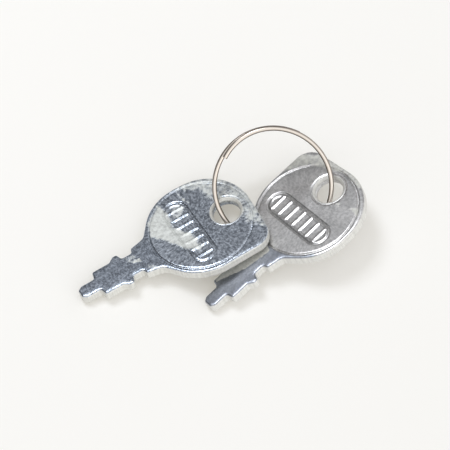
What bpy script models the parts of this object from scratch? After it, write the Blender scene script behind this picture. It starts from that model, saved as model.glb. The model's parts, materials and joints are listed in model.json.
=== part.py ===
"""Two flat stamped switch keys, threaded on one overlapped ring of round spring wire.

The keys lie on the plane z = 0 on their blade tips, their bows lifted by the ring that passes
under them and up through their holes. +X runs across the pair and +Z is up, in metres.
"""

import math

import bmesh
import bpy
from mathutils import Euler, Matrix, Vector

MM = 0.001

# Key blank: origin at the centre of the bow's ring groove, half-way through the plate,
# with the blade along +X. All in millimetres.
THICKNESS = 2.4
EDGE_ROUND = 0.4
EDGE_STEPS = 2
TIP_X = 28.9
NECK_HALF_WIDTH = 4.5
BOW_HALF_WIDTH = 11.95

# Corners of one edge of the blade, from tip to neck: x, half-width, fillet radius.
BLADE_EDGE = (
    (TIP_X, 0.95, 0.6),
    (27.9, 1.65, 0.8),
    (24.8, 1.65, 0.5),
    (24.4, 3.35, 0.6),
    (20.3, 3.35, 0.6),
    (19.1, 4.25, 0.6),
    (18.05, 4.25, 0.6),
    (17.55, 2.7, 0.6),
    (15.3, 2.7, 0.5),
    (14.9, 3.8, 0.6),
    (11.5, NECK_HALF_WIDTH, 2.2),
)
# Corners of the bow, from the neck on the +Y side round to the neck on the -Y side. The far
# corner on the +Y side is the squarer one.
BOW_CORNERS = (
    (5.8, BOW_HALF_WIDTH, 11.1),
    (-11.1, 11.8, 4.0),
    (-12.8, -11.5, 10.9),
    (5.8, -BOW_HALF_WIDTH, 11.1),
)

# Degrees of arc per point on a fillet, for narrow fillets and for wide ones.
NARROW_RADIUS = 2.5
NARROW_STEP = 27.0
WIDE_STEP = 9.0

# Stamped features, the same on both faces.
GROOVE_RADIUS = 10.95
GROOVE_WIDTH = 0.5
GROOVE_DEPTH = 0.22
HOLE_X = -6.25
HOLE_RADIUS = 3.15
HOLE_COIN_RADIUS = 3.65
HOLE_COIN_DEPTH = 0.4
PANEL_X = 2.7
PANEL_LENGTH = 17.2
PANEL_WIDTH = 5.3
PANEL_DEPTH = 0.15
RIB_COUNT = 7
RIB_PITCH = 2.2
RIB_LENGTH = 3.8
RIB_WIDTH = 0.55
RIB_SINK = 0.02
CUT_MARGIN = 0.2
HOLE_STEPS = 40
GROOVE_STEPS = 72
PANEL_END_STEPS = 24

# Key ring: an open coil of round wire whose ends overlap. The upper end curls slightly inwards.
WIRE_DIAMETER = 1.0
COIL_RADIUS = 12.2
COIL_TURN = 445.0
COIL_START = 149.0
COIL_PITCH = 1.12
CURL_TURN = 65.0
CURL_DEPTH = 0.5
WIRE_POINT_STEP = 5.0

# Placing, in millimetres and degrees. A key's heading is where its blade points, its pitch is
# how far the blade dips and its roll is about the blade. The right-hand key lies turned over.
RING_CENTRE = (10.39, 7.42, 7.77)
RING_LEAN = 36.4
LEFT_CENTRE = (-4.54, -0.42, 3.78)
LEFT_TURN = (11.8, 4.7, -149.2)
RIGHT_CENTRE = (17.85, 2.15, 5.98)
RIGHT_TURN = (16.5 + 180.0, 9.3, -136.8)


def clear_scene():
    for obj in list(bpy.data.objects):
        bpy.data.objects.remove(obj, do_unlink=True)


def metal(name, color, roughness):
    material = bpy.data.materials.new(name)
    material.use_nodes = True
    shader = material.node_tree.nodes["Principled BSDF"]
    shader.inputs["Base Color"].default_value = (*color, 1.0)
    shader.inputs["Metallic"].default_value = 1.0
    shader.inputs["Roughness"].default_value = roughness
    return material


def link(name, data, material=None):
    obj = bpy.data.objects.new(name, data)
    bpy.context.collection.objects.link(obj)
    if material:
        data.materials.append(material)
    return obj


def key_corners():
    """Every corner of the blank, anticlockwise from the tip."""
    upper = list(BLADE_EDGE)
    lower = [(x, -y, r) for x, y, r in reversed(BLADE_EDGE)]
    return upper + list(BOW_CORNERS) + lower


def rounded(corners):
    """Points along a filleted outline, each with its outward normal."""
    points = []
    count = len(corners)
    for i, (x, y, radius) in enumerate(corners):
        here = Vector((x, y))
        before = (Vector(corners[i - 1][:2]) - here).normalized()
        after = (Vector(corners[(i + 1) % count][:2]) - here).normalized()
        half = before.angle(after) / 2
        side = 1.0 if before.cross(after) < 0 else -1.0
        centre = here + (before + after).normalized() * (radius / math.sin(half))
        first = (here + before * (radius / math.tan(half)) - centre).normalized()
        turn = side * (math.pi - 2 * half)
        step = WIDE_STEP if radius > NARROW_RADIUS else NARROW_STEP
        steps = max(2, math.ceil(abs(turn) / math.radians(step)))
        for k in range(steps + 1):
            direction = Matrix.Rotation(turn * k / steps, 2) @ first
            points.append((centre + direction * radius, direction * side))
    return points


def level(outline, z):
    """An outline in millimetres as points in metres, all at height z."""
    return [(x * MM, y * MM, z * MM) for x, y in outline]


def band(bm, lower, upper):
    for i in range(len(lower)):
        j = (i + 1) % len(lower)
        bm.faces.new((lower[i], lower[j], upper[j], upper[i]))


def loft(bm, loops):
    """Joins closed loops of equal length into one capped body."""
    rings = [[bm.verts.new(co) for co in loop] for loop in loops]
    for lower, upper in zip(rings, rings[1:]):
        band(bm, lower, upper)
    bm.faces.new(rings[0][::-1])
    bm.faces.new(rings[-1])


def blank_mesh():
    """The key's plate, its edges rounded on both faces."""
    outline = rounded(key_corners())
    half = THICKNESS / 2
    levels = []
    for k in range(EDGE_STEPS + 1):
        angle = math.radians(90.0 * k / EDGE_STEPS)
        inset = EDGE_ROUND * (1 - math.sin(angle))
        height = half - EDGE_ROUND * (1 - math.cos(angle))
        levels.append((inset, height))
    profile = [(inset, -height) for inset, height in levels]
    profile += [(inset, height) for inset, height in reversed(levels)]
    bm = bmesh.new()
    loft(bm, [level([p - n * inset for p, n in outline], z) for inset, z in profile])
    mesh = bpy.data.meshes.new("key_blank")
    bm.to_mesh(mesh)
    bm.free()
    return mesh


def circle(radius, centre_x, steps):
    """Points round a circle centred on the key's middle line."""
    turns = [2 * math.pi * k / steps for k in range(steps)]
    return [(centre_x + radius * math.cos(turn), radius * math.sin(turn)) for turn in turns]


def spool(bm):
    """The hole with its coined countersink on both faces, as a solid to cut with."""
    top = THICKNESS / 2
    above = top + CUT_MARGIN
    sides = ((HOLE_COIN_RADIUS, above), (HOLE_COIN_RADIUS, top), (HOLE_RADIUS, top - HOLE_COIN_DEPTH))
    profile = list(sides) + [(r, -z) for r, z in reversed(sides)]
    loft(bm, [level(circle(r, HOLE_X, HOLE_STEPS), z) for r, z in reversed(profile)])


def groove(bm, face):
    """A V-section ring that cuts the bow's groove into one face."""
    top = THICKNESS / 2
    slope = GROOVE_WIDTH / 2 / GROOVE_DEPTH
    half_mouth = (GROOVE_DEPTH + CUT_MARGIN) * slope
    section = (
        (GROOVE_RADIUS, top - GROOVE_DEPTH),
        (GROOVE_RADIUS + half_mouth, top + CUT_MARGIN),
        (GROOVE_RADIUS - half_mouth, top + CUT_MARGIN),
    )
    rings = [[bm.verts.new(co) for co in level(circle(r, 0.0, GROOVE_STEPS), z * face)]
             for r, z in section]
    for lower, upper in zip(rings, rings[1:] + rings[:1]):
        band(bm, lower, upper)


def panel(bm, face):
    """The long round-ended pocket across the bow."""
    half_width = PANEL_WIDTH / 2
    straight = PANEL_LENGTH / 2 - half_width
    outline = []
    for k in range(PANEL_END_STEPS + 1):
        angle = math.pi * k / PANEL_END_STEPS
        outline.append((half_width * math.cos(angle), straight + half_width * math.sin(angle)))
    outline += [(-x, -y) for x, y in outline]
    outline = [(PANEL_X + x, y) for x, y in outline]
    floor = (THICKNESS / 2 - PANEL_DEPTH) * face
    lid = (THICKNESS / 2 + CUT_MARGIN) * face
    loft(bm, [level(outline, floor), level(outline, lid)])


def helper(name, build):
    """A hidden body that a Boolean cuts with or joins on."""
    bm = bmesh.new()
    build(bm)
    bmesh.ops.recalc_face_normals(bm, faces=bm.faces)
    mesh = bpy.data.meshes.new(name)
    bm.to_mesh(mesh)
    bm.free()
    obj = link(name, mesh)
    obj.hide_render = True
    obj.display_type = "WIRE"
    return obj


def stamped_features(bm):
    spool(bm)
    for face in (1, -1):
        groove(bm, face)
        panel(bm, face)


def ribs(bm):
    """Plain cross ribs standing in the pocket, just below the plate's faces."""
    root = THICKNESS / 2 - 2 * PANEL_DEPTH
    crest = THICKNESS / 2 - RIB_SINK
    for face in (1, -1):
        for k in range(RIB_COUNT):
            y = (k - (RIB_COUNT - 1) / 2) * RIB_PITCH
            size = Vector((RIB_LENGTH, RIB_WIDTH, crest - root)) * MM
            centre = Vector((PANEL_X, y, face * (crest + root) / 2)) * MM
            place = Matrix.Translation(centre) @ Matrix.Diagonal((*size, 1.0))
            bmesh.ops.create_cube(bm, size=1.0, matrix=place)


def boolean(obj, operation, other):
    modifier = obj.modifiers.new(other.name, "BOOLEAN")
    modifier.operation = operation
    modifier.solver = "EXACT"
    modifier.object = other


def key_mesh():
    """One stamped key: the blank with its hole, groove, pocket and ribs."""
    blank = link("blank", blank_mesh())
    stamping = helper("stamping", stamped_features)
    rib_set = helper("rib_set", ribs)
    boolean(blank, "DIFFERENCE", stamping)
    boolean(blank, "UNION", rib_set)
    graph = bpy.context.evaluated_depsgraph_get()
    mesh = bpy.data.meshes.new_from_object(blank.evaluated_get(graph))
    mesh.shade_smooth()
    mesh.set_sharp_from_angle(angle=math.radians(30))
    for obj in (blank, stamping, rib_set):
        bpy.data.objects.remove(obj)
    return mesh


def ring_pivot(name):
    """An empty at the ring's centre, its Z along the ring's axis."""
    empty = link(name, None)
    empty.location = Vector(RING_CENTRE) * MM
    empty.rotation_euler = Euler((math.radians(RING_LEAN), 0.0, 0.0))
    return empty


def key(name, mesh, material, centre, turn):
    """One key, carried by its own pivot on the ring's axis."""
    obj = link(name, mesh.copy(), material)
    holder = ring_pivot(name + "_pivot")
    bpy.context.view_layer.update()
    obj.parent = holder
    angles = Euler([math.radians(a) for a in turn])
    obj.matrix_world = Matrix.Translation(Vector(centre) * MM) @ angles.to_matrix().to_4x4()


def coil_point(share):
    """A point on the wire's middle line, in millimetres: share runs from 0 to 1 along it."""
    angle = math.radians(COIL_START - COIL_TURN * share)
    rise = (0.5 - share) * COIL_PITCH * COIL_TURN / 360.0
    curl = max(0.0, 1.0 - COIL_TURN * share / CURL_TURN)
    radius = COIL_RADIUS - CURL_DEPTH * curl * curl
    return Vector((radius * math.cos(angle), radius * math.sin(angle), rise))


def key_ring(material):
    """The wire coil, its ends cut square and lying side by side where they overlap."""
    curve = bpy.data.curves.new("key_ring", "CURVE")
    curve.dimensions = "3D"
    curve.bevel_depth = WIRE_DIAMETER / 2 * MM
    curve.bevel_resolution = 3
    curve.use_fill_caps = True
    steps = round(COIL_TURN / WIRE_POINT_STEP)
    spline = curve.splines.new("POLY")
    spline.points.add(steps)
    for k, point in enumerate(spline.points):
        point.co = (*(coil_point(k / steps) * MM), 1.0)
    obj = link("key_ring", curve, material)
    obj.location = Vector(RING_CENTRE) * MM
    obj.rotation_euler = Euler((math.radians(RING_LEAN), 0.0, 0.0))


def main():
    clear_scene()
    mesh = key_mesh()
    key("left_key", mesh, metal("left_plate", (0.52, 0.55, 0.60), 0.26), LEFT_CENTRE, LEFT_TURN)
    key("right_key", mesh, metal("right_plate", (0.56, 0.57, 0.58), 0.36), RIGHT_CENTRE, RIGHT_TURN)
    key_ring(metal("ring_wire", (0.66, 0.60, 0.54), 0.30))


main()
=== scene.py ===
import json
import math

import bpy
import numpy as np
from mathutils import Euler, Matrix, Vector, noise
from mathutils.geometry import delaunay_2d_cdt

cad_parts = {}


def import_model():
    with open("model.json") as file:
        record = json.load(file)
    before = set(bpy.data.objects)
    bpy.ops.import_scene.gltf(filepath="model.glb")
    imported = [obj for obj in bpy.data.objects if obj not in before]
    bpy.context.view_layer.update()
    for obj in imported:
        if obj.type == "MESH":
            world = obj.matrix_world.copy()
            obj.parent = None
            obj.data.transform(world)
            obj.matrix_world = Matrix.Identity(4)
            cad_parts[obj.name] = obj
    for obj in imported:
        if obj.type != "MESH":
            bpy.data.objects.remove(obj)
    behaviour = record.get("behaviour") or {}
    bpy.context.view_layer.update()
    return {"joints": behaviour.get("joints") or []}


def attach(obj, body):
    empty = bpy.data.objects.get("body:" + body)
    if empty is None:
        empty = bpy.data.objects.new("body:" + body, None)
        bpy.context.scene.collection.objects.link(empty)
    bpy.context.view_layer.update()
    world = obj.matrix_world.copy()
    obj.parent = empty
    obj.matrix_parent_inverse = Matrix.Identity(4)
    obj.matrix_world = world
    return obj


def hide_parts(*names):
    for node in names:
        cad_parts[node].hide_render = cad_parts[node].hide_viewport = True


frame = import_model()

MM = 0.001

# ================================================================ the key's shape, in millimetres
# Origin at the centre of the bow's ring groove, half-way through the plate, blade along +X.
THICKNESS = 2.4
TIP_X = 28.9
NECK_HALF_WIDTH = 4.5
BOW_HALF_WIDTH = 11.95
# Corners of the outline: x, y and fillet radius. The blade's upper side, tip to neck, then the bow.
BLADE_EDGE = (
    (TIP_X, 0.95, 0.6),
    (27.9, 1.65, 0.8),
    (24.8, 1.65, 0.5),
    (24.4, 3.35, 0.6),
    (20.3, 3.35, 0.6),
    (19.1, 4.25, 0.6),
    (18.05, 4.25, 0.6),
    (17.55, 2.7, 0.6),
    (15.3, 2.7, 0.5),
    (14.9, 3.8, 0.6),
    (11.5, NECK_HALF_WIDTH, 2.2),
)
BOW_CORNERS = (
    (5.8, BOW_HALF_WIDTH, 11.1),
    (-11.1, 11.8, 4.0),
    (-12.8, -11.5, 10.9),
    (5.8, -BOW_HALF_WIDTH, 11.1),
)

# The rounded edge, and the sheared wall below it: height from mid-plate, then inset.
EDGE_ROUND = 0.42
EDGE_STEPS = 6
SHEARED_WALL = ((0.42, 0.0), (0.18, 0.0), (0.06, 0.035), (-0.02, 0.05), (-0.12, 0.02), (-0.4, 0.0))

# The stamped ring groove. The groove round the frame has the same section.
GROOVE_RADIUS = 10.95
GROOVE_HALF = 0.29
GROOVE_DEPTH = 0.23

# The hole, its coined lip and the shallow dish round the lip. Its wall: height, then radius.
HOLE_X = -6.25
HOLE_RADIUS = 3.12
HOLE_WALL = ((0.70, 2.98), (0.55, 2.92), (0.3, 2.9), (0.0, 2.91), (-0.3, 2.9), (-0.55, 2.92), (-0.70, 2.98))
COIN_RADIUS = 3.6
COIN_DEPTH = 0.3
COIN_POWER = 1.3
DISH_OFFSET = 0.12
DISH_HALF = 0.26
DISH_DEPTH = 0.12

# The frame across the bow: a sunk stadium with a raised rim and plain ribs.
PANEL_X = 2.7
PANEL_LENGTH = 17.2
PANEL_WIDTH = 5.3
PANEL_DEPTH = 0.12
PANEL_SLOPE = 0.35
RIM_INSET = 0.55
RIM_HALF = 0.32
RIM_RISE = 0.09
RIB_COUNT = 7
RIB_PITCH = 2.2
RIB_LENGTH = 3.8
RIB_HALF = 0.48
RIB_RISE = 0.125
RIB_END = 0.4

# The face falls a little near its border, and is not quite flat: waves per millimetre, then height.
# The shift gives each seed its own stretch of noise.
ROLL_DEPTH = 0.03
ROLL_REACH = 0.25
SWELL = (0.22, 0.02)
RIPPLE = (0.9, 0.006)
WAVE_SHIFT = (7.3, 3.1, 1.7)
RIPPLE_SEED = 3
LOWER_SEED = 5

# Spacing of the mesh: dense rows along every stamped line, and a loose lattice between them. Each
# group of points has a least gap, and a point nearer than that to an earlier one is dropped.
OUTLINE_SPACING = 0.28
LEAST_ARC_STEPS = 4
LEAST_RING_STEPS = 12
LEAST_END_STEPS = 8
HOLE_SPACING = 0.2
GROOVE_SPACING = 0.26
GROOVE_ROWS = (0, -0.1, 0.1, -0.2, 0.2, -0.32, 0.32, -0.44, 0.44)
STADIUM_SPACING = 0.24
COIN_SPACING = 0.24
COIN_ROWS = (0.06, 0.14, 0.24, 0.36, 0.48, 0.58, 0.7, 0.84, 1.0)
BORDER_ROWS = (0.16, 0.36, 0.62)
RIB_AREA = (PANEL_X - 2.2, PANEL_X + 2.3, -8.0, 8.1)
RIB_LATTICE = 0.14
RIB_SEED = 1
FACE_AREA = (-14, TIP_X, -12, 12)
FACE_LATTICE = 0.34
FACE_JITTER = 0.06
FACE_SEED = 2
BORDER_CLEARANCE = 0.08
HOLE_CLEARANCE = 0.04
GROOVE_GAP = 0.07
COIN_GAP = 0.06
BORDER_GAP = 0.1
RIB_GAP = 0.1
FACE_GAP = 0.2
CELL = 0.08
WELD = 1e-6

# ================================================================ the ring, in millimetres and degrees
WIRE_DIAMETER = 1.0
COIL_RADIUS = 12.2
COIL_TURN = 445.0
COIL_START = 149.0
COIL_PITCH = 1.12
CURL_TURN = 65.0
CURL_DEPTH = 0.5
WIRE_ROWS = 560
WIRE_SIDES = 20
# Each cut end has an eased rim: distance along the wire, then share of its radius.
WIRE_END = ((-0.02, 0.86), (0.0, 0.96), (0.05, 1.0))
# About the length of wire between two rows, for its finish to run along.
ROW_LENGTH = 0.17
SHARP_ANGLE = 50

# ================================================================ placing, as in the CAD
RING_CENTRE = Vector(frame["joints"][0]["pos_m"])
RING_LEAN = 36.4
LEFT_CENTRE = (-4.54, -0.42, 3.78)
LEFT_TURN = (11.8, 4.7, -149.2)
RIGHT_CENTRE = (17.85, 2.15, 5.98)
RIGHT_TURN = (16.5 + 180.0, 9.3, -136.8)
FACE_UP = 1
TURNED_OVER = -1

# ================================================================ finishes
# The tumbled plate's darkest and lightest colours, its milky bloom, which on the right key also
# paints a pale reflection, the bare metal where it is worn, and a tint for the blade.
LEFT_FINISH = {
    "dark": (0.20, 0.23, 0.28),
    "light": (0.66, 0.73, 0.85),
    "bloom_and_reflection": (0.72, 0.75, 0.74),
    "bare": (0.72, 0.72, 0.69),
    "blade": (0.86, 0.87, 0.89),
    "roughness": 0.23,
}
RIGHT_FINISH = {
    "dark": (0.49, 0.495, 0.51),
    "light": (0.72, 0.72, 0.74),
    "bloom_and_reflection": (0.66, 0.67, 0.64),
    "bare": (0.72, 0.72, 0.70),
    "blade": (0.52, 0.56, 0.64),
    "roughness": 0.28,
}
GRAIN_STRENGTH = 0.30
GRAIN_HEIGHT = 0.00006
MOTTLE_RANGE = (0.41, 0.60)
CLOUD_RANGE = (0.3, 0.7)
CLOUD_LEVELS = (0.88, 1.10)
SPOT_RANGE = (0.34, 0.62)
BLOOM_SPOTS = 0.70
BARE_STREAKS = 0.82
STREAK_STRETCH = 0.12
RAGGED_SHARE = 0.95
BLOTCH_SHARE = 0.75
COVER_RANGE = (1.15, 1.65)
COVER_MOST = 0.92
DULL_ROUGHER = 0.22
DULL_METALLIC = 0.35

# Milky patches: a few corners in the key's own millimetres, softness, strength. They were marked
# on the photograph, converted to the key's plane, then thinned out and rounded.
LEFT_MILKY = (
    (((10, -7), (4, -12), (0, -11), (-4, -8), (-5, -2), (-8, -1), (-8, 5), (-11, 9), (-15, 7),
      (-14, -10), (4, -16)), 1.3, 0.62),
    (((9, -7), (5, -10), (4, -7), (5, -3), (2.5, 1), (2.5, 5), (5, 4), (8, -1), (10, -3.5)), 1.1, 1.05),
    (((0, -11), (-1, -6), (0, -8)), 0.5, 0.9),
    (((3, -8), (0.5, -7.5), (0.5, -6), (3, -3.5), (4, -5.5)), 0.5, 0.6),
    (((4, -2), (2, 1), (2, 5), (3.5, 6), (4, 3)), 0.6, 0.6),
    (((14, 1.5), (11, 4.5), (10, 8), (14.5, 4.5)), 0.8, 0.45),
    (((16.5, -0.5), (14.5, -0.5), (14.5, 0.5), (16, 0)), 0.3, 1.0),
    (((17.5, -2.5), (15, -2), (15, -0.5), (17, -0.5)), 0.5, 0.55),
)
RIGHT_MILKY_AND_REFLECTION = (
    (((-5, -3.5), (-5.5, -4.5), (-4.5, -5)), 0.5, 0.95),
    (((-5.5, -7), (-7.5, -8.5), (-5.5, -10)), 0.5, 0.7),
    (((-3, 11.5), (-8, 8), (-11, 0), (-10, -5), (-12, -8), (-15, 0), (-8, 14)), 0.6, 0.66),
    # Painted reflection: this pale strip on the blade is where the left key's wall is mirrored in the shade
    # beneath that key.
    (((10.5, 2.5), (18, 3), (23.5, 4.5), (24, 2.5), (18, 0), (12, -1)), 0.4, 1.6),
)
HIDDEN_HAZE = 0.4

# Where the plate is worn to bare metal, in millimetres: sheared wall, coined lip, and the border
# of the face that lies underneath.
WEAR_SPACING = 0.6
SHEAR_MARGIN = 0.05
SHEAR_START = 0.06
SHEAR_FADE = 0.3
LIP_SHINE = 0.9
LIP_MARGIN = 0.05
LIP_FADE = 0.2
LIP_BOTTOM = 0.6
LIP_BOTTOM_FADE = 0.15
WORN_BORDER = 2.6
WORN_FADE = 1.0
# The blade's tint starts outside the ring groove and beyond this x.
TINT_X = 6.0
TINT_FADE = 1.0
TINT_GROOVE_FADE = 0.5

# Painted light across the wire's section, from the coil's inside to its outside: brown painted shade at
# both sides and a painted highlight between.
WIRE_SHADE_AND_HIGHLIGHT = (
    (0.04, (0.10, 0.085, 0.07)),
    (0.20, (0.36, 0.31, 0.27)),
    (0.42, (0.80, 0.74, 0.68)),
    (0.62, (0.86, 0.80, 0.75)),
    (0.84, (0.42, 0.37, 0.33)),
    (0.97, (0.17, 0.14, 0.12)),
)
DRAWN_STRETCH = (0.15, 4.0, 4.0)
DRAWN_SHIFT = 0.10

# ================================================================ stage, light and camera
FLOOR_HALF = 1.5
FLOOR_DROP = 0.00002
CAMERA_TARGET = (0.39, -0.97, 6.37)
CAMERA_PLACE = (0.39, -226.28, 430.2)
CAMERA_LENS = 185.18
DOME_TINT = (1.0, 0.985, 0.955, 1.0)
DOME_LEVEL = 0.34
DOME_LEAST = 0.03
# Lobes of the dome: axis, where it starts, where it is full, and what it adds.
DOME = (
    ("X", 0.10, 0.60, 0.62),
    ("X", -0.55, -0.80, -0.20),
    ("Y", -0.15, -0.60, 0.70),
    ("Z", 0.82, 0.97, 0.55),
)


# ================================================================ outline and relief of the key
def key_corners():
    """All the corners of the outline in order: upper blade, bow, lower blade."""
    lower = [(x, -y, r) for x, y, r in reversed(BLADE_EDGE)]
    return list(BLADE_EDGE) + list(BOW_CORNERS) + lower


def rounded(corners, spacing):
    """A filleted outline as points and outward normals, no two points far apart."""
    points = []
    count = len(corners)
    for i, (x, y, radius) in enumerate(corners):
        here = Vector((x, y))
        before = (Vector(corners[i - 1][:2]) - here).normalized()
        after = (Vector(corners[(i + 1) % count][:2]) - here).normalized()
        half = before.angle(after) / 2
        side = 1.0 if before.cross(after) < 0 else -1.0
        centre = here + (before + after).normalized() * (radius / math.sin(half))
        first = (here + before * (radius / math.tan(half)) - centre).normalized()
        turn = side * (math.pi - 2 * half)
        steps = max(LEAST_ARC_STEPS, math.ceil(abs(turn) * radius / spacing))
        for k in range(steps + 1):
            direction = Matrix.Rotation(turn * k / steps, 2) @ first
            points.append((centre + direction * radius, direction * side))
    filled = []
    for (p, n), (q, m) in zip(points, points[1:] + points[:1]):
        parts = max(1, math.ceil((q - p).length / spacing))
        for k in range(parts):
            t = k / parts
            filled.append(((*p.lerp(q, t),), (*n.lerp(m, t).normalized(),)))
    return np.array([p for p, n in filled]), np.array([n for p, n in filled])


def distance_inside(points, outline):
    """How far each point lies inside the outline: negative outside."""
    a = outline
    b = np.roll(outline, -1, axis=0)
    edge = b - a
    length2 = (edge ** 2).sum(1)
    best = np.full(len(points), np.inf)
    inside = np.zeros(len(points), bool)
    x, y = points[:, 0], points[:, 1]
    for i in range(len(a)):
        t = np.clip(((points - a[i]) @ edge[i]) / length2[i], 0, 1)
        gap = points - a[i] - t[:, None] * edge[i]
        best = np.minimum(best, (gap ** 2).sum(1))
        if a[i, 1] != b[i, 1]:
            crosses = (a[i, 1] > y) != (b[i, 1] > y)
            at = a[i, 0] + (y - a[i, 1]) * edge[i, 0] / edge[i, 1]
            inside ^= crosses & (x < at)
    return np.where(inside, 1, -1) * np.sqrt(best)


def stadium(x, y):
    """Signed distance from the outline of the frame across the bow: negative inside."""
    half = PANEL_WIDTH / 2
    straight = PANEL_LENGTH / 2 - half
    return np.hypot(x - PANEL_X, np.maximum(np.abs(y) - straight, 0)) - half


def hump(t):
    """1 at t = 0, falling smoothly to 0 at t = 1 and t = -1."""
    t = np.clip(np.abs(t), 0, 1)
    return 0.5 + 0.5 * np.cos(np.pi * t)


def step(t):
    """0 up to t = 0, rising smoothly to 1 at t = 1."""
    t = np.clip(t, 0, 1)
    return t * t * (3 - 2 * t)


def relief(x, y, depth_in):
    """Height of the stamped face over its flat plane, in millimetres."""
    from_groove = np.hypot(x, y) - GROOVE_RADIUS
    height = -GROOVE_DEPTH * hump(from_groove / GROOVE_HALF)
    from_panel = stadium(x, y)
    height -= GROOVE_DEPTH * hump(from_panel / GROOVE_HALF)
    height -= PANEL_DEPTH * step(-from_panel / PANEL_SLOPE)
    height += RIM_RISE * hump((from_panel + RIM_INSET) / RIM_HALF)
    for k in range(RIB_COUNT):
        at = (k - (RIB_COUNT - 1) / 2) * RIB_PITCH
        along = step((RIB_LENGTH / 2 + RIB_END / 2 - np.abs(x - PANEL_X)) / RIB_END)
        height += RIB_RISE * hump((y - at) / RIB_HALF) * along
    from_hole = np.hypot(x - HOLE_X, y)
    height -= COIN_DEPTH * step((COIN_RADIUS - from_hole) / (COIN_RADIUS - HOLE_RADIUS)) ** COIN_POWER
    height -= DISH_DEPTH * hump((from_hole - COIN_RADIUS - DISH_OFFSET) / DISH_HALF)
    height -= ROLL_DEPTH * np.exp(-depth_in / ROLL_REACH)
    return height


# ================================================================ mesh of the key
def crowded(seen, px, py, gap):
    """Whether a point already kept lies closer than gap."""
    cx, cy = int(px // CELL), int(py // CELL)
    reach = int(gap // CELL) + 1
    for i in range(cx - reach, cx + reach + 1):
        for j in range(cy - reach, cy + reach + 1):
            for qx, qy in seen.get((i, j), ()):
                if (qx - px) ** 2 + (qy - py) ** 2 < gap * gap:
                    return True
    return False


def scatter(groups):
    """Keeps points in order of importance, dropping any too close to one already kept."""
    kept, seen = [], {}
    for points, gap in groups:
        for px, py in points:
            if not crowded(seen, px, py, gap):
                seen.setdefault((int(px // CELL), int(py // CELL)), []).append((px, py))
                kept.append((px, py))
    return np.array(kept)


def ring_points(cx, radius, spacing):
    """A row of points round a circle whose centre is at x = cx, y = 0."""
    steps = max(LEAST_RING_STEPS, round(2 * math.pi * radius / spacing))
    turn = 2 * np.pi * np.arange(steps) / steps
    return np.c_[cx + radius * np.cos(turn), radius * np.sin(turn)]


def stadium_points(offset, spacing):
    """A row of points round the frame, at this offset outside its outline."""
    half = PANEL_WIDTH / 2 + offset
    straight = PANEL_LENGTH / 2 - PANEL_WIDTH / 2
    arc = np.linspace(0, np.pi, max(LEAST_END_STEPS, round(np.pi * half / spacing)))
    end = np.c_[half * np.cos(arc), straight + half * np.sin(arc)]
    side_y = np.linspace(straight, -straight, round(2 * straight / spacing))[1:-1]
    side = np.c_[np.full(len(side_y), -half), side_y]
    loop = np.vstack([end, side])
    loop = np.vstack([loop, -loop])
    return loop + (PANEL_X, 0)


def lattice(x0, x1, y0, y1, pitch, jitter, seed):
    """A square grid of points over a rectangle, each moved at random by up to jitter."""
    rng = np.random.default_rng(seed)
    x, y = np.meshgrid(np.arange(x0, x1, pitch), np.arange(y0, y1, pitch))
    points = np.c_[x.ravel(), y.ravel()]
    return points + rng.uniform(-jitter, jitter, points.shape)


def face_points(border, normals):
    """The points inside one face, each with room round it."""
    groups = []
    for offset in GROOVE_ROWS:
        groups.append((ring_points(0, GROOVE_RADIUS + offset, GROOVE_SPACING), GROOVE_GAP))
        groups.append((stadium_points(offset, STADIUM_SPACING), GROOVE_GAP))
    for offset in COIN_ROWS:
        groups.append((ring_points(HOLE_X, HOLE_RADIUS + offset, COIN_SPACING), COIN_GAP))
    for offset in BORDER_ROWS:
        groups.append((border - normals * offset, BORDER_GAP))
    groups.append((lattice(*RIB_AREA, RIB_LATTICE, 0.0, RIB_SEED), RIB_GAP))
    groups.append((lattice(*FACE_AREA, FACE_LATTICE, FACE_JITTER, FACE_SEED), FACE_GAP))
    points = scatter(groups)
    clear = distance_inside(points, border) > BORDER_CLEARANCE
    clear &= np.hypot(points[:, 0] - HOLE_X, points[:, 1]) > HOLE_RADIUS + HOLE_CLEARANCE
    return points[clear]


def face_triangles(verts, border, hole_count):
    """Triangles between the border and the hole, all turned anticlockwise."""
    border_count = len(border)
    edges = [(i, (i + 1) % border_count) for i in range(border_count)]
    edges += [(border_count + i, border_count + (i + 1) % hole_count) for i in range(hole_count)]
    out, _, tris, origin, _, _ = delaunay_2d_cdt([Vector(p) for p in verts], edges, [], 0, WELD)
    back = np.full(len(out), -1)
    for i, sources in enumerate(origin):
        if sources:
            back[i] = sources[0]
    tris = np.array([[back[v] for v in tri] for tri in tris])
    tris = tris[(tris >= 0).all(1)]
    middle = verts[tris].mean(1)
    keep = distance_inside(middle, border) > 0
    keep &= np.hypot(middle[:, 0] - HOLE_X, middle[:, 1]) > HOLE_RADIUS
    tris = tris[keep]
    a, b, c = verts[tris[:, 0]], verts[tris[:, 1]], verts[tris[:, 2]]
    flip = (b[:, 0] - a[:, 0]) * (c[:, 1] - a[:, 1]) - (b[:, 1] - a[:, 1]) * (c[:, 0] - a[:, 0]) < 0
    tris[flip] = tris[flip][:, ::-1]
    return tris


def waves(points, scale, depth, seed):
    """Gentle unevenness of the face, another pattern for each seed."""
    shift = Vector([seed * part for part in WAVE_SHIFT])
    return np.array([depth * noise.noise(Vector((x, y, 0)) * scale + shift) for x, y in points])


def outer_wall(outline, normals, tops, bottoms):
    """Loops of points from the upper face's border, down the outer wall, to the lower face's."""
    count = len(outline)
    rounding = []
    for k in range(1, EDGE_STEPS + 1):
        a = math.radians(90.0 * k / EDGE_STEPS)
        rounding.append((EDGE_ROUND * (1 - math.sin(a)), EDGE_ROUND * (1 - math.cos(a))))
    loops = [np.c_[outline - normals * inset, tops[:count] - drop] for inset, drop in rounding]
    for z, inset in SHEARED_WALL:
        loops.append(np.c_[outline - normals * inset, np.full(count, z)])
    for inset, drop in reversed(rounding):
        loops.append(np.c_[outline - normals * inset, bottoms[:count] + drop])
    return loops


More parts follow.
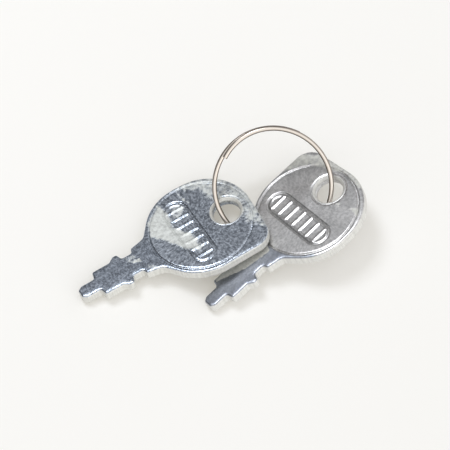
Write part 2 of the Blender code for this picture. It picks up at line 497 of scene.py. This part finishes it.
def hole_wall(rim):
    """Loops of points down the wall of the hole."""
    middle = np.array((HOLE_X, 0.0))
    spokes = (rim - middle) / HOLE_RADIUS
    return [np.c_[middle + spokes * radius, np.full(len(rim), z)] for z, radius in HOLE_WALL]


def vertex_numbers(loops, start):
    """The vertex numbers of each loop, when the first loop's first vertex is number start."""
    numbers = []
    for loop in loops:
        numbers.append(np.arange(start, start + len(loop)))
        start += len(loop)
    return numbers


def band(loops, outward):
    """Quads from each loop of vertex numbers down to the next."""
    quads = []
    for upper, lower in zip(loops, loops[1:]):
        count = len(upper)
        for i in range(count):
            j = (i + 1) % count
            quad = (upper[i], lower[i], lower[j], upper[j])
            quads.append(quad if outward else quad[::-1])
    return quads


def key_mesh(name, seed):
    """The whole key: two stamped faces, rounded edges, the outer wall and the hole's wall."""
    outline, normals = rounded(key_corners(), OUTLINE_SPACING)
    border = outline - normals * EDGE_ROUND
    rim = ring_points(HOLE_X, HOLE_RADIUS, HOLE_SPACING)
    verts = np.vstack([border, rim, face_points(border, normals)])
    tris = face_triangles(verts, border, len(rim))
    depth_in = np.maximum(distance_inside(verts, outline) - EDGE_ROUND, 0)
    height = THICKNESS / 2 + relief(verts[:, 0], verts[:, 1], depth_in)
    tops = height + waves(verts, *SWELL, seed) + waves(verts, *RIPPLE, seed + RIPPLE_SEED)
    bottoms = -(height + waves(verts, *SWELL, seed + LOWER_SEED))

    count = len(verts)
    outer = outer_wall(outline, normals, tops, bottoms)
    inner = hole_wall(rim)
    outer_numbers = vertex_numbers(outer, 2 * count)
    inner_numbers = vertex_numbers(inner, 2 * count + len(outer) * len(border))
    border_numbers, rim_numbers = vertex_numbers([border, rim], 0)
    faces = [tuple(t) for t in tris] + [tuple(t[::-1] + count) for t in tris]
    faces += band([border_numbers, *outer_numbers, border_numbers + count], outward=True)
    faces += band([rim_numbers, *inner_numbers, rim_numbers + count], outward=False)

    points = np.vstack([np.c_[verts, tops], np.c_[verts, bottoms], *outer, *inner]) * MM
    mesh = bpy.data.meshes.new(name)
    mesh.from_pydata(points.tolist(), [], [tuple(int(v) for v in f) for f in faces])
    mesh.validate()
    mesh.shade_smooth()
    return mesh


def milky_and_reflection(points, patches):
    """Strength of the milky bloom and of the painted reflection: soft-edged patches, the strongest one
    winning.
    """
    value = np.zeros(len(points))
    for corners, softness, strength in patches:
        inside = distance_inside(points, np.array(corners, float))
        value = np.maximum(value, strength * step(0.5 + inside / (2 * softness)))
    return value


def bare_metal(flat, z, facing):
    """Where the plating is worn off, 0 to 1: sheared wall, coined lip, border of the hidden face."""
    drop = THICKNESS / 2 - np.abs(z)
    inside = distance_inside(flat, rounded(key_corners(), WEAR_SPACING)[0])
    wall = np.where(inside < EDGE_ROUND + SHEAR_MARGIN, step((drop - SHEAR_START) / SHEAR_FADE), 0.0)
    from_hole = np.hypot(flat[:, 0] - HOLE_X, flat[:, 1])
    lip = LIP_SHINE * step((COIN_RADIUS + LIP_MARGIN - from_hole) / LIP_FADE)
    lip = lip * step((LIP_BOTTOM - drop) / LIP_BOTTOM_FADE)
    hidden = z * facing < 0
    border = step((WORN_BORDER - inside) / WORN_FADE) * hidden
    return np.maximum(np.maximum(wall, lip), border)


def paint_plate(mesh, patches, facing):
    """Stores on the mesh, before it is turned, what the plated finish reads at each point."""
    co = np.zeros(len(mesh.vertices) * 3)
    mesh.vertices.foreach_get("co", co)
    co = co.reshape(-1, 3) / MM
    flat, z = co[:, :2], co[:, 2]
    visible = z > 0 if facing == FACE_UP else z <= 0
    # The milky bloom, and on the right key's blade a painted reflection.
    haze_and_reflection = milky_and_reflection(flat, patches) * np.where(visible, 1.0, HIDDEN_HAZE)
    bare = bare_metal(flat, z, facing)
    from_groove = np.hypot(flat[:, 0], flat[:, 1]) - GROOVE_RADIUS
    tint = step(from_groove / TINT_GROOVE_FADE) * step((flat[:, 0] - TINT_X) / TINT_FADE)
    for name, values in (("haze_and_reflection", haze_and_reflection), ("side", bare), ("tone", tint)):
        attribute = mesh.attributes.new(name, "FLOAT", "POINT")
        attribute.data.foreach_set("value", values.astype(np.float32))
    place = mesh.attributes.new("plate_place", "FLOAT_VECTOR", "POINT")
    place.data.foreach_set("vector", (co * MM).astype(np.float32).ravel())


# ================================================================ mesh of the ring
def coil_point(share):
    """The wire's centre at this share of its length: a coil whose first stretch curls inwards."""
    angle = math.radians(COIL_START - COIL_TURN * share)
    rise = (0.5 - share) * COIL_PITCH * COIL_TURN / 360.0
    curl = max(0.0, 1.0 - COIL_TURN * share / CURL_TURN)
    radius = COIL_RADIUS - CURL_DEPTH * curl * curl
    return Vector((radius * math.cos(angle), radius * math.sin(angle), rise))


def wire_sections():
    """Each section's centre, and its directions along the wire, out from the coil and across."""
    points = [coil_point(k / WIRE_ROWS) for k in range(WIRE_ROWS + 1)]
    sections = []
    for k, centre in enumerate(points):
        tangent = (points[min(k + 1, WIRE_ROWS)] - points[max(k - 1, 0)]).normalized()
        out = Vector((centre.x, centre.y, 0)).normalized()
        out = (out - tangent * out.dot(tangent)).normalized()
        sections.append((centre, tangent, out, tangent.cross(out)))
    return sections


def ring_mesh(name):
    """The wire swept round its coil, both ends cut square with their rims eased."""
    sections = wire_sections()
    rows = [(sections[0], offset, scale) for offset, scale in WIRE_END]
    rows += [(section, 0.0, 1.0) for section in sections[1:-1]]
    rows += [(sections[-1], -offset, scale) for offset, scale in reversed(WIRE_END)]
    sides = WIRE_SIDES
    verts, faces, along = [], [], []
    for i, ((centre, tangent, out, up), offset, scale) in enumerate(rows):
        for j in range(sides):
            a = 2 * math.pi * j / sides
            ring = (out * math.cos(a) + up * math.sin(a)) * (WIRE_DIAMETER / 2) * scale
            verts.append((centre + tangent * offset + ring) * MM)
            along.append((i * ROW_LENGTH, math.cos(a), math.sin(a)))
    for i in range(len(rows) - 1):
        for j in range(sides):
            k = (j + 1) % sides
            faces.append((i * sides + j, i * sides + k, (i + 1) * sides + k, (i + 1) * sides + j))
    last = (len(rows) - 1) * sides
    faces.append(tuple(range(sides))[::-1])
    faces.append(tuple(range(last, last + sides)))
    mesh = bpy.data.meshes.new(name)
    mesh.from_pydata(verts, [], faces)
    mesh.validate()
    mesh.shade_smooth()
    mesh.set_sharp_from_angle(angle=math.radians(SHARP_ANGLE))
    line = mesh.attributes.new("wire_line", "FLOAT_VECTOR", "POINT")
    line.data.foreach_set("vector", np.array(along, np.float32).ravel())
    return mesh


# ================================================================ materials
def new_material(name):
    material = bpy.data.materials.new(name)
    material.use_nodes = True
    tree = material.node_tree
    return material, tree, tree.nodes["Principled BSDF"]


def node(tree, kind, **values):
    """A new node. Each value goes to the input socket of that name, or else to the property."""
    made = tree.nodes.new(kind)
    for key, value in values.items():
        if key in made.inputs:
            made.inputs[key].default_value = value
        else:
            setattr(made, key, value)
    return made


def attribute_at(tree, name, output="Fac"):
    return node(tree, "ShaderNodeAttribute", attribute_name=name).outputs[output]


def from_to(places, first, last):
    """The two ends of a colour ramp."""
    return list(zip(places, (first, last)))


def ramp(tree, source, stops):
    made = tree.nodes.new("ShaderNodeValToRGB")
    elements = made.color_ramp.elements
    while len(elements) < len(stops):
        elements.new(0.5)
    for element, (at, color) in zip(elements, stops):
        element.position = at
        element.color = (*color, 1.0)
    tree.links.new(source, made.inputs["Fac"])
    return made.outputs["Color"]


def grey(v):
    return (v, v, v)


def shade(color, share):
    return tuple(share * v for v in color)


def mix(tree, factor, a, b, blend="MIX"):
    made = tree.nodes.new("ShaderNodeMix")
    made.data_type = "RGBA"
    made.blend_type = blend
    for socket, value in ((made.inputs[0], factor), (made.inputs[6], a), (made.inputs[7], b)):
        if hasattr(value, "links"):
            tree.links.new(value, socket)
        elif isinstance(value, tuple):
            socket.default_value = (*value, 1.0)
        else:
            socket.default_value = value
    return made.outputs[2]


def noise_at(tree, place, scale, detail, roughness):
    texture = node(tree, "ShaderNodeTexNoise", Scale=scale, Detail=detail, Roughness=roughness)
    tree.links.new(place, texture.inputs["Vector"])
    return texture.outputs["Fac"]


def stretched(tree, place, scale):
    made = node(tree, "ShaderNodeMapping", Scale=scale)
    tree.links.new(place, made.inputs["Vector"])
    return made.outputs["Vector"]


def math_node(tree, operation, a, b, c=None):
    made = node(tree, "ShaderNodeMath", operation=operation)
    for socket, value in zip(made.inputs, (a, b, c)):
        if hasattr(value, "links"):
            tree.links.new(value, socket)
        elif value is not None:
            socket.default_value = value
    return made.outputs[0]


def soft_step(tree, value, low, high):
    made = node(tree, "ShaderNodeMapRange", interpolation_type="SMOOTHSTEP")
    tree.links.new(value, made.inputs["Value"])
    made.inputs["From Min"].default_value = low
    made.inputs["From Max"].default_value = high
    return made.outputs["Result"]


def add_bump(tree, shader, height, strength, distance):
    bump = node(tree, "ShaderNodeBump", Strength=strength, Distance=distance)
    tree.links.new(height, bump.inputs["Height"])
    tree.links.new(bump.outputs["Normal"], shader.inputs["Normal"])


def plated_key(name, finish):
    """Zinc plate: tumbled grain, milky bloom where it is rubbed dull, a painted pale reflection, bare worn
    edges.

    Noise scales are in features to the metre.
    """
    material, tree, shader = new_material(name)
    place = attribute_at(tree, "plate_place", "Vector")
    fine = noise_at(tree, place, scale=2900.0, detail=2.0, roughness=0.6)
    blotch = noise_at(tree, place, scale=1500.0, detail=3.0, roughness=0.7)
    ragged = noise_at(tree, place, scale=620.0, detail=4.0, roughness=0.7)
    broad = noise_at(tree, place, scale=170.0, detail=3.0, roughness=0.5)
    streak = noise_at(tree, stretched(tree, place, (1.0, 1.0, STREAK_STRETCH)),
                      scale=2200.0, detail=3.0, roughness=0.7)

    mottle = math_node(tree, "MULTIPLY_ADD", fine, 0.5, math_node(tree, "MULTIPLY", blotch, 0.5))
    plate = ramp(tree, mottle, from_to(MOTTLE_RANGE, finish["dark"], finish["light"]))
    clouds = ramp(tree, broad, from_to(CLOUD_RANGE, grey(CLOUD_LEVELS[0]), grey(CLOUD_LEVELS[1])))
    plate = mix(tree, 1.0, plate, clouds, "MULTIPLY")
    tinted = mix(tree, 1.0, plate, finish["blade"], "MULTIPLY")
    plate = mix(tree, attribute_at(tree, "tone"), plate, tinted)

    # The haze attribute carries the milky bloom and, on the right key's blade, a painted reflection.
    torn = math_node(tree, "MULTIPLY_ADD", ragged, RAGGED_SHARE, attribute_at(tree, "haze_and_reflection"))
    torn = math_node(tree, "MULTIPLY_ADD", blotch, BLOTCH_SHARE, torn)
    cover = soft_step(tree, torn, *COVER_RANGE)
    bloom_and_reflection = finish["bloom_and_reflection"]
    milk_and_reflection = ramp(tree, blotch, from_to(SPOT_RANGE, shade(bloom_and_reflection, BLOOM_SPOTS), bloom_and_reflection))
    color = mix(tree, math_node(tree, "MULTIPLY", cover, COVER_MOST), plate, milk_and_reflection)
    bare = attribute_at(tree, "side")
    metal = ramp(tree, streak, from_to(SPOT_RANGE, shade(finish["bare"], BARE_STREAKS), finish["bare"]))
    color = mix(tree, bare, color, metal)
    tree.links.new(color, shader.inputs["Base Color"])

    dull = math_node(tree, "MAXIMUM", cover, bare)
    roughness = finish["roughness"]
    rough = mix(tree, dull, grey(roughness), grey(roughness + DULL_ROUGHER))
    tree.links.new(rough, shader.inputs["Roughness"])
    metallic = ramp(tree, dull, from_to((0.0, 1.0), grey(1.0), grey(DULL_METALLIC)))
    tree.links.new(metallic, shader.inputs["Metallic"])
    add_bump(tree, shader, mottle, GRAIN_STRENGTH, GRAIN_HEIGHT)
    return material


def spring_wire(name):
    """Spring wire, with brown painted shade along the coil's inside and outside and a painted highlight
    between.
    """
    material, tree, shader = new_material(name)
    line = attribute_at(tree, "wire_line", "Vector")
    drawn = noise_at(tree, stretched(tree, line, DRAWN_STRETCH), scale=3.0, detail=3.0, roughness=0.6)
    split = node(tree, "ShaderNodeSeparateXYZ")
    tree.links.new(line, split.inputs[0])
    across = math_node(tree, "MULTIPLY_ADD", split.outputs["Y"], 0.5, 0.5)
    across = math_node(tree, "SUBTRACT", across, DRAWN_SHIFT / 2)
    across = math_node(tree, "MULTIPLY_ADD", drawn, DRAWN_SHIFT, across)
    # The bands paint shade on the wire's inner and outer sides and a highlight along its middle.
    tree.links.new(ramp(tree, across, WIRE_SHADE_AND_HIGHLIGHT), shader.inputs["Base Color"])
    shader.inputs["Metallic"].default_value = 1.0
    shader.inputs["Roughness"].default_value = 0.3
    add_bump(tree, shader, drawn, strength=0.2, distance=0.00003)
    return material


def paper(name):
    """Pale paper that glows a little, so that the shadows on it stay light and warm."""
    material, _, shader = new_material(name)
    shader.inputs["Base Color"].default_value = (0.66, 0.68, 0.72, 1.0)
    shader.inputs["Emission Color"].default_value = (1.0, 0.90, 0.68, 1.0)
    shader.inputs["Emission Strength"].default_value = 0.23
    shader.inputs["Roughness"].default_value = 0.9
    shader.inputs["Specular IOR Level"].default_value = 0.2
    return material


# ================================================================ putting it together
def place_key(name, body, node_name, seed, centre, turn, facing, patches, material):
    """One key where the CAD has it. Its mesh is turned, not the object, to keep its box tight."""
    mesh = key_mesh(name, seed)
    paint_plate(mesh, patches, facing)
    mesh.materials.append(material)
    obj = bpy.data.objects.new(name, mesh)
    bpy.context.scene.collection.objects.link(obj)
    mesh.transform(Euler([math.radians(a) for a in turn]).to_matrix().to_4x4())
    obj.location = Vector(centre) * MM
    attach(obj, body)
    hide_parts(node_name)


def place_ring(name, material):
    """The ring where the CAD has it, its mesh leant over."""
    mesh = ring_mesh(name)
    mesh.materials.append(material)
    obj = bpy.data.objects.new(name, mesh)
    bpy.context.scene.collection.objects.link(obj)
    mesh.transform(Matrix.Rotation(math.radians(RING_LEAN), 4, "X"))
    obj.location = RING_CENTRE
    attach(obj, "key_ring")
    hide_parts("key_ring")


def floor():
    """A wide flat floor, just under the surface that the keys rest on."""
    mesh = bpy.data.meshes.new("floor")
    s = FLOOR_HALF
    mesh.from_pydata([(-s, -s, 0), (s, -s, 0), (s, s, 0), (-s, s, 0)], [], [(0, 1, 2, 3)])
    mesh.materials.append(paper("pale_paper"))
    obj = bpy.data.objects.new("floor", mesh)
    bpy.context.scene.collection.objects.link(obj)
    obj.location.z = -FLOOR_DROP


def lamp(name, size, power, color, at):
    """A rectangular lamp that points at the origin."""
    light = bpy.data.lights.new(name, "AREA")
    light.shape = "RECTANGLE"
    light.size, light.size_y = size
    light.energy = power
    light.color = color
    obj = bpy.data.objects.new(name, light)
    bpy.context.scene.collection.objects.link(obj)
    obj.location = at
    obj.rotation_euler = (-Vector(at)).to_track_quat("-Z", "Y").to_euler()


def camera():
    data = bpy.data.cameras.new("camera")
    data.sensor_width = 36.0
    data.lens = CAMERA_LENS
    data.clip_start = 0.01
    data.clip_end = 10.0
    obj = bpy.data.objects.new("camera", data)
    bpy.context.scene.collection.objects.link(obj)
    target = Vector(CAMERA_TARGET) * MM
    at = Vector(CAMERA_PLACE) * MM
    obj.location = at
    obj.rotation_euler = (target - at).to_track_quat("-Z", "Y").to_euler()
    bpy.context.scene.camera = obj


def world():
    """A studio dome: one level all round, brighter right, in front and overhead, dimmer left."""
    made = bpy.data.worlds.new("studio")
    bpy.context.scene.world = made
    made.use_nodes = True
    tree = made.node_tree
    split = node(tree, "ShaderNodeSeparateXYZ")
    tree.links.new(node(tree, "ShaderNodeTexCoord").outputs["Generated"], split.inputs[0])
    level = DOME_LEVEL
    for axis, low, high, gain in DOME:
        lobe = soft_step(tree, split.outputs[axis], low, high)
        level = math_node(tree, "MULTIPLY_ADD", lobe, gain, level)
    back = tree.nodes["Background"]
    back.inputs["Color"].default_value = DOME_TINT
    tree.links.new(math_node(tree, "MAXIMUM", level, DOME_LEAST), back.inputs["Strength"])


def main():
    left = plated_key("left_key_zinc", LEFT_FINISH)
    right = plated_key("right_key_zinc", RIGHT_FINISH)
    place_key("left_key_metal", "left_key", "left_key", 1,
              LEFT_CENTRE, LEFT_TURN, FACE_UP, LEFT_MILKY, left)
    place_key("right_key_metal", "right_key", "right_key", 2,
              RIGHT_CENTRE, RIGHT_TURN, TURNED_OVER, RIGHT_MILKY_AND_REFLECTION, right)
    place_ring("key_ring_wire", spring_wire("ring_nickel"))
    floor()
    world()
    lamp("key_softbox", size=(0.22, 0.22), power=1.5, color=(0.98, 0.99, 1.0), at=(-0.22, 0.20, 0.60))
    lamp("low_fill", size=(0.30, 0.10), power=0.14, color=(1.0, 0.99, 0.97), at=(0.26, -0.30, 0.07))
    camera()
    bpy.context.scene.view_settings.view_transform = "Standard"


main()
